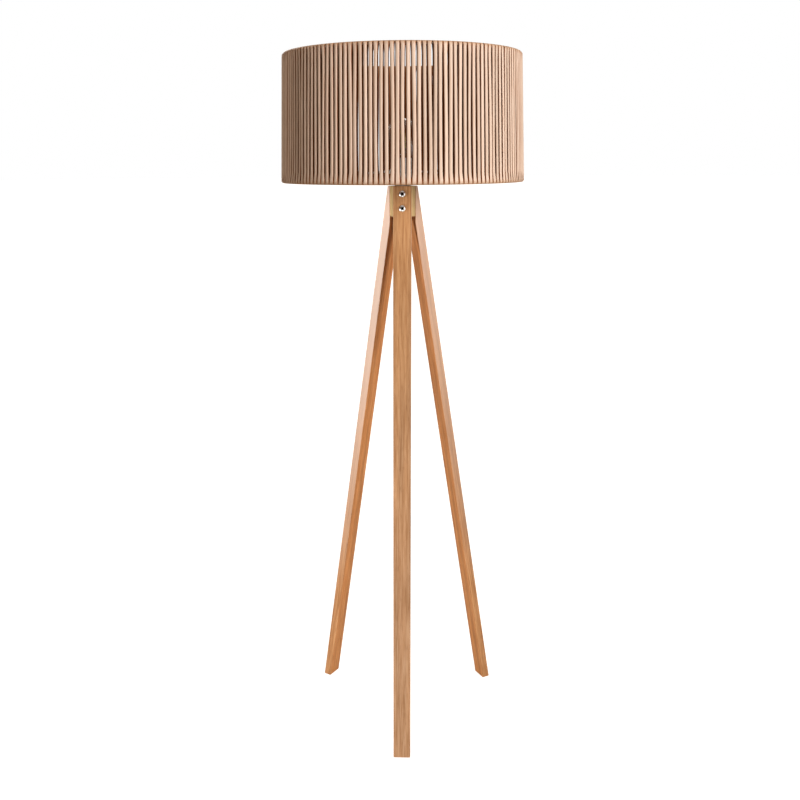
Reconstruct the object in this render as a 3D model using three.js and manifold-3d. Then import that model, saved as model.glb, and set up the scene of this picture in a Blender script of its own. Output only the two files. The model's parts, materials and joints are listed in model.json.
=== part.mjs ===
// Tripod floor lamp: three wooden legs bolted to a wooden hub, a screw-in lampholder on top of
// the hub, and an open drum shade of folded paper tape wound on a welded wire frame.
//
// Millimetres, +Z up. The floor is z = 0, the tripod's axis is the Z axis, and the front leg
// stands towards -Y. Pieces that touch keep GAP between their surfaces.

import * as THREE from 'three';
import { mergeVertices } from 'three/addons/utils/BufferGeometryUtils.js';
import Module from 'manifold-3d';

const wasm = await Module();
wasm.setup();

// ---------------------------------------------------------------- driving dimensions

const GAP = 0.3;
const SMALL_SEGMENTS = 12;
const SCREW_SEGMENTS = 16;
const FINE_SEGMENTS = 24;
const ROUND_SEGMENTS = 48;

// Tripod
const LEG_NAMES = ['front', 'right', 'left'];
const LEG_TOP = 1208;
const LEG_OUTER_RADIUS_TOP = 25.5;
const LEG_OUTER_RADIUS_FLOOR = 230;
const LEG_THICKNESS = 18;
const LEG_WIDTH_TOP = 38;
const LEG_WIDTH_FLOOR = 36;

// Hub
const HUB_HEIGHT = 62;
const HUB_FACE_RADIUS = 19.7;
const HUB_BOTTOM = LEG_TOP - HUB_HEIGHT;

// Leg screws: M8 button heads with a 5 mm hexagon socket, and their threaded inserts
const SCREWS = [
  { level: 'upper', below: 16, length: 20 },
  { level: 'lower', below: 45, length: 25 },
];
const SCREW_RADIUS = 4;
const SCREW_HEAD_RADIUS = 7;
const SCREW_HEAD_HEIGHT = 4.4;
const SOCKET_ACROSS_FLATS = 5;
const SOCKET_DEPTH = 2.6;
const INSERT_RADIUS = 5.5;
const INSERT_LENGTH = 12;

// Hollow tube through the hub, with the nut, the washer and the bush at its lower end
const TUBE_RADIUS = 5;
const TUBE_BORE_RADIUS = 3.5;
const TUBE_BOTTOM = HUB_BOTTOM - 10;
const TUBE_TOP = LEG_TOP + 11.5;
const BUSH_RADIUS = 7;
const BUSH_HEIGHT = 6.5;
const NUT_ACROSS_FLATS = 14;
const NUT_HEIGHT = 4.5;
const WASHER_RADIUS = 11;
const WASHER_HEIGHT = 1.3;

// Lampholder
const HOLDER_BASE = LEG_TOP + GAP;
const CAP_RADIUS_BASE = 17;
const CAP_RADIUS_RIM = 20;
const CAP_HEIGHT = 22;
const SHOULDER_RADIUS = 23;
const SHOULDER_HEIGHT = 3;
const SHELL_THREAD_RADIUS = 19.3;
const SHELL_TOP = 1264;
const CORE_RADIUS = 15;
const CORE_BOTTOM = 1221.2;
const CORE_TOP = 1231;
const SOCKET_SHELL_RADIUS = 14.1;
const SOCKET_SHELL_WALL = 0.5;
const SOCKET_SHELL_TOP = 1258;

// Bulb: 60 mm globe on a 27 mm screw cap
const BULB_TIP = 1234.4;
const BULB_CAP_RADIUS = 13.1;
const BULB_CAP_TOP = 1262;
const BULB_NECK_RADIUS = 12.2;
const BULB_NECK_BOTTOM = 1250;
const BULB_GLOBE_RADIUS = 30;
const BULB_GLOBE_HEIGHT = 1313;
const BULB_GLOBE_JOIN = THREE.MathUtils.degToRad(-40);
const BULB_WALL = 0.8;
const FILAMENT_COUNT = 4;
const FILAMENT_RADIUS = 1;
const FILAMENT_BOTTOM = 1284;
const FILAMENT_LENGTH = 38;
const FILAMENT_FOOT_CIRCLE = 8.5;
const FILAMENT_LEAN = THREE.MathUtils.degToRad(5);

// Shade
const SHADE_BOTTOM = 1216;
const SHADE_HEIGHT = 248;
const SHADE_TOP = SHADE_BOTTOM + SHADE_HEIGHT;
const SHADE_RADIUS_BOTTOM = 250;
const SHADE_RADIUS_TOP = 240;
const WINDING_DEPTH = 3.8;
const WINDING_FOLD = 0.9;
const WINDING_LIP = 10;
const RING_WIRE_RADIUS = 2.25;
const RING_INSET = 6.5;
const RING_MARGIN = 3.5;
const UPRIGHT_COUNT = 6;
const ARM_COUNT = 3;
const WIRE_RADIUS = 2;
const WIRE_SIDES = 6;
const FITTER_BORE_RADIUS = 19.8;
const FITTER_RADIUS = 35;
const FITTER_HEIGHT = 1.2;
const CLAMP_RING_RADIUS = 26;
const CLAMP_RING_BORE_RADIUS = 19.7;
const CLAMP_RING_HEIGHT = 8;

// ---------------------------------------------------------------- finishes

const FINISHES = {
  legWood: { color: 0xcb9666, roughness: 0.55, metalness: 0 },
  hubWood: { color: 0xc2a06a, roughness: 0.6, metalness: 0 },
  chrome: { color: 0xd9dcdf, roughness: 0.08, metalness: 1 },
  brass: { color: 0xc8a35a, roughness: 0.3, metalness: 1 },
  steel: { color: 0xa9adb0, roughness: 0.35, metalness: 1 },
  whitePlastic: { color: 0xf0efea, roughness: 0.35, metalness: 0 },
  blackPlastic: { color: 0x1c1c1c, roughness: 0.4, metalness: 0 },
  porcelain: { color: 0xf2efe6, roughness: 0.2, metalness: 0 },
  whiteWire: { color: 0xe6e1d6, roughness: 0.4, metalness: 0 },
  paperTape: { color: 0xd8b896, roughness: 0.7, metalness: 0 },
  clearGlass: { color: 0xf4f8f8, roughness: 0.02, metalness: 0, opacity: 0.35, transparent: true },
  filament: { color: 0xe8c35c, roughness: 0.6, metalness: 0 },
};

// ---------------------------------------------------------------- geometry helpers

// A turned piece about the Z axis. The outline is a list of [radius, height], with the outer
// side going up. It starts and ends on the axis.
function turned(outline, segments = FINE_SEGMENTS) {
  const points = outline.map(([radius, height]) => new THREE.Vector2(radius, height));
  const geometry = new THREE.LatheGeometry(points, segments);
  return geometry.rotateX(Math.PI / 2);
}

// A turned ring, whose outline closes on itself off the axis.
function turnedRing(outline, segments = FINE_SEGMENTS) {
  return turned([...outline, outline[0]], segments);
}

function rod(radius, bottom, top, segments = FINE_SEGMENTS) {
  return turned([[0, bottom], [radius, bottom], [radius, top], [0, top]], segments);
}

function sleeve(bore, radius, bottom, top, segments = FINE_SEGMENTS) {
  return turnedRing([[bore, bottom], [radius, bottom], [radius, top], [bore, top]], segments);
}

function extruded(shape, bottom, height) {
  const geometry = new THREE.ExtrudeGeometry(shape, { depth: height, bevelEnabled: false });
  return geometry.translate(0, 0, bottom);
}

function hexagon(acrossFlats) {
  const corner = acrossFlats / Math.sqrt(3);
  const points = [];
  for (let side = 0; side < 6; side += 1) {
    const angle = (side * Math.PI) / 3;
    points.push(new THREE.Vector2(corner * Math.cos(angle), corner * Math.sin(angle)));
  }
  return new THREE.Shape(points);
}

function circle(radius, sides) {
  const points = [];
  for (let side = 0; side < sides; side += 1) {
    const angle = (side * 2 * Math.PI) / sides;
    points.push(new THREE.Vector2(radius * Math.cos(angle), radius * Math.sin(angle)));
  }
  return new THREE.Shape(points);
}

function solidOf(geometry) {
  const bare = geometry.clone();
  bare.deleteAttribute('normal');
  bare.deleteAttribute('uv');
  const merged = mergeVertices(bare, 1e-4);
  const vertProperties = new Float32Array(merged.attributes.position.array);
  const triVerts = new Uint32Array(merged.index.array);
  return new wasm.Manifold(new wasm.Mesh({ numProp: 3, vertProperties, triVerts }));
}

function geometryOf(solid) {
  const mesh = solid.getMesh();
  const geometry = new THREE.BufferGeometry();
  geometry.setAttribute('position', new THREE.BufferAttribute(mesh.vertProperties, 3));
  geometry.setIndex(new THREE.BufferAttribute(mesh.triVerts, 1));
  const faceted = geometry.toNonIndexed();
  faceted.computeVertexNormals();
  return faceted;
}

function cut(geometry, tools) {
  let solid = solidOf(geometry);
  for (const tool of tools) {
    solid = solid.subtract(solidOf(tool));
  }
  return geometryOf(solid);
}

function addPiece(parent, name, geometry, finish) {
  const mesh = new THREE.Mesh(geometry, new THREE.MeshStandardMaterial(FINISHES[finish]));
  mesh.name = name;
  parent.add(mesh);
  return mesh;
}

function aroundZ(index, count, start = 0) {
  return start + (index * 2 * Math.PI) / count;
}

// ---------------------------------------------------------------- tripod

const LEG_SLOPE = (LEG_OUTER_RADIUS_FLOOR - LEG_OUTER_RADIUS_TOP) / LEG_TOP;
const LEG_LEAN = Math.atan(LEG_SLOPE);

// How far a leg's outer face stands from the axis at a height.
function legOuterRadius(height) {
  return LEG_OUTER_RADIUS_TOP + LEG_SLOPE * (LEG_TOP - height);
}

// A leg, standing towards -Y: a leaning bar whose inner face is planed upright where it meets
// the hub, with its width tapering a little towards the floor.
function legGeometry() {
  const depth = LEG_THICKNESS / Math.cos(LEG_LEAN);
  const planedRadius = HUB_FACE_RADIUS + GAP;
  const planedBottom = LEG_TOP - (planedRadius + depth - LEG_OUTER_RADIUS_TOP) / LEG_SLOPE;
  const side = new THREE.Shape([
    new THREE.Vector2(legOuterRadius(0), 0),
    new THREE.Vector2(LEG_OUTER_RADIUS_TOP, LEG_TOP),
    new THREE.Vector2(planedRadius, LEG_TOP),
    new THREE.Vector2(planedRadius, planedBottom),
    new THREE.Vector2(legOuterRadius(0) - depth, 0),
  ]);
  const geometry = extruded(side, -LEG_WIDTH_TOP / 2, LEG_WIDTH_TOP);
  const outward = new THREE.Vector3(0, -1, 0);
  const up = new THREE.Vector3(0, 0, 1);
  const across = new THREE.Vector3(-1, 0, 0);
  geometry.applyMatrix4(new THREE.Matrix4().makeBasis(outward, up, across));
  const position = geometry.attributes.position;
  for (let vertex = 0; vertex < position.count; vertex += 1) {
    const share = position.getZ(vertex) / LEG_TOP;
    const width = THREE.MathUtils.lerp(LEG_WIDTH_FLOOR, LEG_WIDTH_TOP, share);
    position.setX(vertex, (position.getX(vertex) * width) / LEG_WIDTH_TOP);
  }
  return geometry;
}

// Where a screw seats on the front leg: local +Z points out of the leg's outer face.
function screwSeat(below) {
  const height = LEG_TOP - below;
  const matrix = new THREE.Matrix4().makeRotationX(Math.PI / 2 - LEG_LEAN);
  return matrix.setPosition(0, -legOuterRadius(height), height);
}

// Distance along a screw from its seat to the hub's face.
function seatToHub(below) {
  return (legOuterRadius(LEG_TOP - below) - HUB_FACE_RADIUS) / Math.cos(LEG_LEAN);
}

function screwGeometry(length) {
  const seat = GAP;
  const rim = seat + 0.9;
  const dome = seat + SCREW_HEAD_HEIGHT;
  const crown = SCREW_HEAD_RADIUS * 0.5;
  const arc = new THREE.QuadraticBezierCurve(
    new THREE.Vector2(SCREW_HEAD_RADIUS, rim),
    new THREE.Vector2(SCREW_HEAD_RADIUS * 0.87, dome),
    new THREE.Vector2(crown, dome),
  );
  const outline = [[0, -length], [SCREW_RADIUS - 0.6, -length], [SCREW_RADIUS, 0.6 - length]];
  outline.push([SCREW_RADIUS, seat], [SCREW_HEAD_RADIUS - 0.2, seat]);
  for (const point of arc.getPoints(3)) {
    outline.push([point.x, point.y]);
  }
  outline.push([0, dome]);
  const socket = extruded(hexagon(SOCKET_ACROSS_FLATS), dome - SOCKET_DEPTH, SOCKET_DEPTH + 1);
  return cut(turned(outline, SCREW_SEGMENTS), [socket]);
}

function insertGeometry(below) {
  const mouth = -seatToHub(below) - 0.6;
  const end = mouth - INSERT_LENGTH;
  return sleeve(SCREW_RADIUS + GAP, INSERT_RADIUS, end, mouth, SMALL_SEGMENTS);
}

function hubGeometry() {
  const halfFace = LEG_WIDTH_TOP / 2;
  const corners = [];
  for (let index = 0; index < LEG_NAMES.length; index += 1) {
    for (const side of [-halfFace, halfFace]) {
      const corner = new THREE.Vector2(side, -HUB_FACE_RADIUS);
      corners.push(corner.rotateAround(new THREE.Vector2(), aroundZ(index, LEG_NAMES.length)));
    }
  }
  const tools = [rod(TUBE_RADIUS + GAP, HUB_BOTTOM - 1, LEG_TOP + 1)];
  for (let index = 0; index < LEG_NAMES.length; index += 1) {
    for (const screw of SCREWS) {
      const reach = seatToHub(screw.below) + INSERT_LENGTH + 1;
      const bore = rod(INSERT_RADIUS + GAP, -reach, 0, SMALL_SEGMENTS);
      bore.applyMatrix4(screwSeat(screw.below));
      bore.rotateZ(aroundZ(index, LEG_NAMES.length));
      tools.push(bore);
    }
  }
  return cut(extruded(new THREE.Shape(corners), HUB_BOTTOM, HUB_HEIGHT), tools);
}

function tripod() {
  const group = new THREE.Group();
  addPiece(group, 'hub_block', hubGeometry(), 'hubWood');
  const screwHoles = SCREWS.map((screw) => {
    const hole = rod(SCREW_RADIUS + GAP, -LEG_THICKNESS - 5, 5, SMALL_SEGMENTS);
    return hole.applyMatrix4(screwSeat(screw.below));
  });
  LEG_NAMES.forEach((name, index) => {
    const corner = new THREE.Group();
    corner.rotation.z = aroundZ(index, LEG_NAMES.length);
    group.add(corner);
    addPiece(corner, `leg_${name}`, cut(legGeometry(), screwHoles), 'legWood');
    for (const screw of SCREWS) {
      const seat = new THREE.Group();
      seat.applyMatrix4(screwSeat(screw.below));
      corner.add(seat);
      addPiece(seat, `leg_screw_${name}_${screw.level}`, screwGeometry(screw.length), 'chrome');
      addPiece(seat, `hub_insert_${name}_${screw.level}`, insertGeometry(screw.below), 'brass');
    }
  });
  return group;
}

// ---------------------------------------------------------------- tube through the hub

function cordInlet() {
  const group = new THREE.Group();
  const washerBottom = HUB_BOTTOM - GAP - WASHER_HEIGHT;
  const nutBottom = washerBottom - GAP - NUT_HEIGHT;
  const bushTop = nutBottom - GAP;
  const bushBottom = bushTop - BUSH_HEIGHT;
  const cuff = TUBE_RADIUS + GAP;
  addPiece(
    group,
    'threaded_tube',
    sleeve(TUBE_BORE_RADIUS, TUBE_RADIUS, TUBE_BOTTOM, TUBE_TOP),
    'steel',
  );
  const bush = turnedRing([
    [TUBE_BORE_RADIUS + 0.2, bushBottom + 0.8],
    [TUBE_BORE_RADIUS + 1, bushBottom],
    [BUSH_RADIUS - 0.8, bushBottom],
    [BUSH_RADIUS, bushBottom + 0.8],
    [BUSH_RADIUS, bushTop],
    [cuff, bushTop],
    [cuff, TUBE_BOTTOM - GAP],
    [TUBE_BORE_RADIUS + 0.2, TUBE_BOTTOM - GAP],
  ]);
  addPiece(group, 'cord_bush', bush, 'blackPlastic');
  const nut = cut(extruded(hexagon(NUT_ACROSS_FLATS), nutBottom, NUT_HEIGHT), [
    rod(cuff, nutBottom - 1, nutBottom + NUT_HEIGHT + 1),
  ]);
  addPiece(group, 'tube_nut', nut, 'steel');
  const washer = sleeve(cuff, WASHER_RADIUS, washerBottom, washerBottom + WASHER_HEIGHT);
  addPiece(group, 'tube_washer', washer, 'steel');
  return group;
}

// ---------------------------------------------------------------- lampholder

const SHOULDER_BOTTOM = HOLDER_BASE + CAP_HEIGHT;
const SHOULDER_TOP = SHOULDER_BOTTOM + SHOULDER_HEIGHT;

function holderCapGeometry() {
  const wall = 1.8;
  const floor = HOLDER_BASE + 3.5;
  const collarTop = TUBE_TOP - 0.7;
  const rim = SHOULDER_BOTTOM - GAP;
  return turnedRing([
    [TUBE_RADIUS + GAP, HOLDER_BASE],
    [CAP_RADIUS_BASE - 0.6, HOLDER_BASE],
    [CAP_RADIUS_BASE, HOLDER_BASE + 0.6],
    [CAP_RADIUS_RIM - 0.5, HOLDER_BASE + CAP_HEIGHT * 0.7],
    [CAP_RADIUS_RIM, rim],
    [CAP_RADIUS_RIM - wall, rim],
    [CAP_RADIUS_RIM - 0.5 - wall, HOLDER_BASE + CAP_HEIGHT * 0.7],
    [CAP_RADIUS_BASE - wall, floor],
    [TUBE_RADIUS + 4, floor],
    [TUBE_RADIUS + 4, collarTop],
    [TUBE_RADIUS + GAP, collarTop],
  ]);
}

function holderShellGeometry() {
  const bore = SHELL_THREAD_RADIUS - 2.5;
  const spigot = CAP_RADIUS_RIM - 2.6;
  return turnedRing([
    [CORE_RADIUS + 0.6, SHOULDER_BOTTOM - 5],
    [spigot, SHOULDER_BOTTOM - 5],
    [spigot, SHOULDER_BOTTOM],
    [SHOULDER_RADIUS, SHOULDER_BOTTOM],
    [SHOULDER_RADIUS, SHOULDER_TOP],
    [SHELL_THREAD_RADIUS, SHOULDER_TOP],
    [SHELL_THREAD_RADIUS, SHELL_TOP - 1.2],
    [SHELL_THREAD_RADIUS - 0.8, SHELL_TOP],
    [bore, SHELL_TOP],
    [bore, SHOULDER_TOP + 2],
    [CORE_RADIUS + 0.6, SHOULDER_TOP + 1],
  ]);
}

function lampholder() {
  const group = new THREE.Group();
  const terminalCircle = 11.5;
  const terminalRadius = 1.5;
  const base = CORE_TOP + GAP;
  addPiece(group, 'holder_cap', holderCapGeometry(), 'whitePlastic');
  addPiece(group, 'holder_shell', holderShellGeometry(), 'whitePlastic');

  const terminalHoles = [-1, 1].map((side) => {
    const hole = rod(terminalRadius + GAP, CORE_BOTTOM - 1, CORE_BOTTOM + 6, SMALL_SEGMENTS);
    return hole.translate(side * terminalCircle, 0, 0);
  });
  const core = cut(rod(CORE_RADIUS, CORE_BOTTOM, CORE_TOP), terminalHoles);
  addPiece(group, 'holder_core', core, 'porcelain');
  [-1, 1].forEach((side, index) => {
    const outline = [
      [0, CORE_BOTTOM - GAP - 1.3],
      [2.8, CORE_BOTTOM - GAP - 1.3],
      [2.8, CORE_BOTTOM - GAP],
      [terminalRadius, CORE_BOTTOM - GAP],
      [terminalRadius, CORE_BOTTOM + 5],
      [0, CORE_BOTTOM + 5],
    ];
    const screw = turned(outline, SMALL_SEGMENTS).translate(side * terminalCircle, 0, 0);
    addPiece(group, `holder_terminal_screw_${index + 1}`, screw, 'steel');
  });

  const flangeBore = 6.4;
  const shell = turnedRing([
    [flangeBore, base],
    [SOCKET_SHELL_RADIUS, base],
    [SOCKET_SHELL_RADIUS, SOCKET_SHELL_TOP],
    [SOCKET_SHELL_RADIUS - SOCKET_SHELL_WALL, SOCKET_SHELL_TOP],
    [SOCKET_SHELL_RADIUS - SOCKET_SHELL_WALL, base + SOCKET_SHELL_WALL],
    [flangeBore, base + SOCKET_SHELL_WALL],
  ]);
  addPiece(group, 'holder_screw_shell', shell, 'brass');

  const leafTop = BULB_TIP - GAP - base;
  const leafFoot = 5.5;
  const leafCrown = 2;
  const leafThickness = 0.5;
  const leaf = new THREE.Shape([
    new THREE.Vector2(-leafFoot, 0),
    new THREE.Vector2(-leafFoot + leafThickness, 0),
    new THREE.Vector2(-leafCrown, leafTop - leafThickness),
    new THREE.Vector2(leafCrown, leafTop - leafThickness),
    new THREE.Vector2(leafFoot - leafThickness, 0),
    new THREE.Vector2(leafFoot, 0),
    new THREE.Vector2(leafCrown, leafTop),
    new THREE.Vector2(-leafCrown, leafTop),
  ]);
  const contact = extruded(leaf, -2, 4);
  contact.rotateX(Math.PI / 2);
  contact.translate(0, 0, base);
  addPiece(group, 'holder_centre_contact', contact, 'brass');
  return group;
}

// ---------------------------------------------------------------- bulb

// One side of the glass wall, from the neck up to the axis.
function glassCurve(inset) {
  const neck = BULB_NECK_RADIUS - inset;
  const globe = BULB_GLOBE_RADIUS - inset;
  const joinRadius = globe * Math.cos(BULB_GLOBE_JOIN);
  const joinHeight = BULB_GLOBE_HEIGHT + globe * Math.sin(BULB_GLOBE_JOIN);
  const pull = 12;
  const path = new THREE.Path();
  path.moveTo(neck, BULB_NECK_BOTTOM);
  path.lineTo(neck, BULB_CAP_TOP);
  path.bezierCurveTo(
    neck,
    BULB_CAP_TOP + pull,
    joinRadius + pull * Math.sin(BULB_GLOBE_JOIN),
    joinHeight - pull * Math.cos(BULB_GLOBE_JOIN),
    joinRadius,
    joinHeight,
  );
  path.absarc(0, BULB_GLOBE_HEIGHT, globe, BULB_GLOBE_JOIN, Math.PI / 2, false);
  const outline = path.getPoints(4).map((point) => [point.x, point.y]);
  outline[outline.length - 1][0] = 0;
  return outline;
}

function bulb() {
  const group = new THREE.Group();
  const tip = turned([
    [0, BULB_TIP],
    [4.2, BULB_TIP],
    [5, BULB_TIP + 1],
    [5, BULB_TIP + 2],
    [0, BULB_TIP + 2],
  ]);
  addPiece(group, 'bulb_contact', tip, 'brass');

  const insulatorBottom = BULB_TIP + 2 + GAP;
  const insulatorTop = insulatorBottom + 5;
  const insulator = turned([
    [0, insulatorBottom],
    [6, insulatorBottom],
    [11.8, insulatorTop],
    [0, insulatorTop],
  ]);
  addPiece(group, 'bulb_insulator', insulator, 'blackPlastic');

  const capBottom = insulatorTop + GAP;
  const capWall = 0.6;
  const capBore = 9;
  const cap = turnedRing([
    [capBore, capBottom],
    [BULB_CAP_RADIUS - 1.1, capBottom],
    [BULB_CAP_RADIUS, capBottom + 2],
    [BULB_CAP_RADIUS, BULB_CAP_TOP],
    [BULB_CAP_RADIUS - capWall, BULB_CAP_TOP],
    [BULB_CAP_RADIUS - capWall, capBottom + 2.2],
    [BULB_CAP_RADIUS - 1.1 - capWall, capBottom + capWall],
    [capBore, capBottom + capWall],
  ]);
  addPiece(group, 'bulb_cap', cap, 'steel');

  const inner = glassCurve(BULB_WALL).reverse();
  const outer = glassCurve(0);
  addPiece(group, 'bulb_glass', turned([...inner, ...outer]), 'clearGlass');

  const stem = turned([
    [0, BULB_NECK_BOTTOM],
    [9.5, BULB_NECK_BOTTOM],
    [6, BULB_NECK_BOTTOM + 8],
    [3.5, BULB_NECK_BOTTOM + 26],
    [2.2, BULB_NECK_BOTTOM + 30],
    [2.2, FILAMENT_BOTTOM + FILAMENT_LENGTH],
    [0, FILAMENT_BOTTOM + FILAMENT_LENGTH + 1],
  ], SMALL_SEGMENTS);
  addPiece(group, 'bulb_stem', stem, 'clearGlass');

  for (let index = 0; index < FILAMENT_COUNT; index += 1) {
    const filament = rod(FILAMENT_RADIUS, 0, FILAMENT_LENGTH, WIRE_SIDES);
    filament.rotateY(-FILAMENT_LEAN);
    filament.translate(FILAMENT_FOOT_CIRCLE, 0, FILAMENT_BOTTOM);
    filament.rotateZ(aroundZ(index, FILAMENT_COUNT, Math.PI / 4));
    addPiece(group, `bulb_filament_${index + 1}`, filament, 'filament');
  }
  return group;
}

// ---------------------------------------------------------------- shade

const BOTTOM_RING = {
  radius: SHADE_RADIUS_BOTTOM - RING_INSET,
  height: SHADE_BOTTOM + RING_MARGIN,
};
const TOP_RING = {
  radius: SHADE_RADIUS_TOP - RING_INSET,
  height: SHADE_TOP - RING_MARGIN,
};
const FITTER_BOTTOM = SHOULDER_TOP + GAP;
const FITTER_TOP = FITTER_BOTTOM + FITTER_HEIGHT;

function wireRing({ radius, height }) {
  const ring = new THREE.TorusGeometry(radius, RING_WIRE_RADIUS, WIRE_SIDES, ROUND_SEGMENTS);
  return ring.translate(0, 0, height);
}

function wireAlong(points, steps) {
  const path = new THREE.CatmullRomCurve3(points, false, 'centripetal');
  const settings = { extrudePath: path, steps, bevelEnabled: false };
  return new THREE.ExtrudeGeometry(circle(WIRE_RADIUS, WIRE_SIDES), settings);
}

// From the top of the fitter plate out and down to the bottom ring.
function armGeometry() {
  const onPlate = FITTER_TOP + GAP + WIRE_RADIUS;
  const reach = BOTTOM_RING.radius - RING_WIRE_RADIUS - 2 * GAP;
  return wireAlong([
    new THREE.Vector3(CLAMP_RING_RADIUS + 1, 0, onPlate),
    new THREE.Vector3(FITTER_RADIUS, 0, onPlate),
    new THREE.Vector3(FITTER_RADIUS + 12, 0, onPlate - 0.6),
    new THREE.Vector3(reach - 12, 0, BOTTOM_RING.height + 0.6),
    new THREE.Vector3(reach, 0, BOTTOM_RING.height),
  ], 12);
}

function uprightGeometry() {
  const clear = RING_WIRE_RADIUS + GAP;
  const bottom = new THREE.Vector3(BOTTOM_RING.radius, 0, BOTTOM_RING.height + clear);
  const top = new THREE.Vector3(TOP_RING.radius, 0, TOP_RING.height - clear);
  return wireAlong([bottom, top], 1);
}

// The wound tape: a tapering drum wall whose edges fold in over the two rings.
function windingGeometry() {
  const bottomLip = SHADE_RADIUS_BOTTOM - WINDING_LIP;
  const topLip = SHADE_RADIUS_TOP - WINDING_LIP;
  return turnedRing([
    [bottomLip, SHADE_BOTTOM],
    [SHADE_RADIUS_BOTTOM, SHADE_BOTTOM],
    [SHADE_RADIUS_TOP, SHADE_TOP],
    [topLip, SHADE_TOP],
    [topLip, SHADE_TOP - WINDING_FOLD],
    [SHADE_RADIUS_TOP - WINDING_DEPTH, SHADE_TOP - WINDING_FOLD],
    [SHADE_RADIUS_BOTTOM - WINDING_DEPTH, SHADE_BOTTOM + WINDING_FOLD],
    [bottomLip, SHADE_BOTTOM + WINDING_FOLD],
  ], ROUND_SEGMENTS);
}

function shade() {
  const group = new THREE.Group();
  addPiece(group, 'shade_winding', windingGeometry(), 'paperTape');
  addPiece(group, 'shade_bottom_ring', wireRing(BOTTOM_RING), 'whiteWire');
  addPiece(group, 'shade_top_ring', wireRing(TOP_RING), 'whiteWire');
  for (let index = 0; index < UPRIGHT_COUNT; index += 1) {
    const upright = addPiece(group, `shade_upright_${index + 1}`, uprightGeometry(), 'whiteWire');
    upright.rotation.z = aroundZ(index, UPRIGHT_COUNT);
  }
  for (let index = 0; index < ARM_COUNT; index += 1) {
    const arm = addPiece(group, `shade_arm_${index + 1}`, armGeometry(), 'whiteWire');
    arm.rotation.z = aroundZ(index, ARM_COUNT, Math.PI / 6);
  }
  const fitter = sleeve(FITTER_BORE_RADIUS, FITTER_RADIUS, FITTER_BOTTOM, FITTER_TOP);
  addPiece(group, 'shade_fitter', fitter, 'whiteWire');
  return group;
}

function clampRing() {
  const group = new THREE.Group();
  const bottom = FITTER_TOP + GAP;
  const top = bottom + CLAMP_RING_HEIGHT;
  const ring = turnedRing([
    [CLAMP_RING_BORE_RADIUS, bottom],
    [CLAMP_RING_RADIUS, bottom],
    [CLAMP_RING_RADIUS, top - 1],
    [CLAMP_RING_RADIUS - 1, top],
    [CLAMP_RING_BORE_RADIUS, top],
  ]);
  addPiece(group, 'shade_ring', ring, 'whitePlastic');
  return group;
}

// ---------------------------------------------------------------- the lamp

const lamp = new THREE.Group();
lamp.add(tripod());
lamp.add(cordInlet());
lamp.add(lampholder());
lamp.add(bulb());
lamp.add(shade());
lamp.add(clampRing());

export default lamp;
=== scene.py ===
import json
import math
import random

import bmesh
import bpy
from mathutils import Matrix, Vector


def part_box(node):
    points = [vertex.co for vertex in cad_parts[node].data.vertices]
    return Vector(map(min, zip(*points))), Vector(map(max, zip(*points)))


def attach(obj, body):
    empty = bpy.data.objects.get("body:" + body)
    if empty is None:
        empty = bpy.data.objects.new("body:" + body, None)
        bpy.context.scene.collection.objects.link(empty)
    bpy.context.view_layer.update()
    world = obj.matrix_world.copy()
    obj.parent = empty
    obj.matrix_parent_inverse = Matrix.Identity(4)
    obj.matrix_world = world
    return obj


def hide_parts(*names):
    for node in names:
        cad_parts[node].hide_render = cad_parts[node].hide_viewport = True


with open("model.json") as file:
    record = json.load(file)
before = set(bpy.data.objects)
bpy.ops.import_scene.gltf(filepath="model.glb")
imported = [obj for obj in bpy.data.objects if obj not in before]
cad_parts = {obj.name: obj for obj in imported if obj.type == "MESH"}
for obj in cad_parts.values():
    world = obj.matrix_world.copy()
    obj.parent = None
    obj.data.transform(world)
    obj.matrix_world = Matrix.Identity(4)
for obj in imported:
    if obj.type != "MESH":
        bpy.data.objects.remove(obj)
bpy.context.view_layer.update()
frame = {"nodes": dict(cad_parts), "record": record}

# Places in the frame are in metres. Outlines of small pieces are in millimetres and made metres
# by MM. Angles are in radians, but those of the lights are in degrees. The front leg stands
# towards -Y, and the lamp's axis is the Z axis.
MM = 0.001
TURN = 2 * math.pi
SEED = 31

# The smallest radius of a ring in millimetres, and the gaps in metres that are closed when a
# mesh is cleaned.
POINT = 1e-4
SAME_PLACE = 1e-6
NO_LENGTH = 1e-7

LEG_NAMES = ("front", "right", "left")

# How far below the top of a leg its screws are, in millimetres along the lamp's axis.
SCREWS = {"upper": 16, "lower": 45}


def linked(name, data):
    """A new object of that data in the scene."""
    thing = bpy.data.objects.new(name, data)
    bpy.context.scene.collection.objects.link(thing)
    return thing


# ---------------------------------------------------------------- camera

CAMERA_DISTANCE = 1.9313
CAMERA_HEIGHT = 1.265
CAMERA_AZIMUTH = math.radians(2.02)
CAMERA_TURN = math.radians(0.245)
CAMERA_DOWN = math.radians(15.03)
CAMERA_ROLL = math.radians(-0.344)
LENS = 40.66
SENSOR = 36


def place_camera():
    data = bpy.data.cameras.new("camera")
    data.sensor_width = SENSOR
    data.lens = LENS
    camera = linked("camera", data)
    aim = Matrix.Rotation(CAMERA_AZIMUTH + CAMERA_TURN, 4, "Z")
    aim = aim @ Matrix.Rotation(math.pi / 2 - CAMERA_DOWN, 4, "X")
    aim = aim @ Matrix.Rotation(CAMERA_ROLL, 4, "Z")
    place = Vector((0, -CAMERA_DISTANCE, CAMERA_HEIGHT))
    place.rotate(Matrix.Rotation(CAMERA_AZIMUTH, 3, "Z"))
    camera.matrix_world = Matrix.Translation(place) @ aim
    bpy.context.scene.camera = camera


# ---------------------------------------------------------------- mesh helpers

def lerp(start, end, share):
    return start + (end - start) * share


def ease(value):
    """A smooth step from 0 to 1."""
    value = min(max(value, 0.0), 1.0)
    return value * value * (3 - 2 * value)


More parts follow.
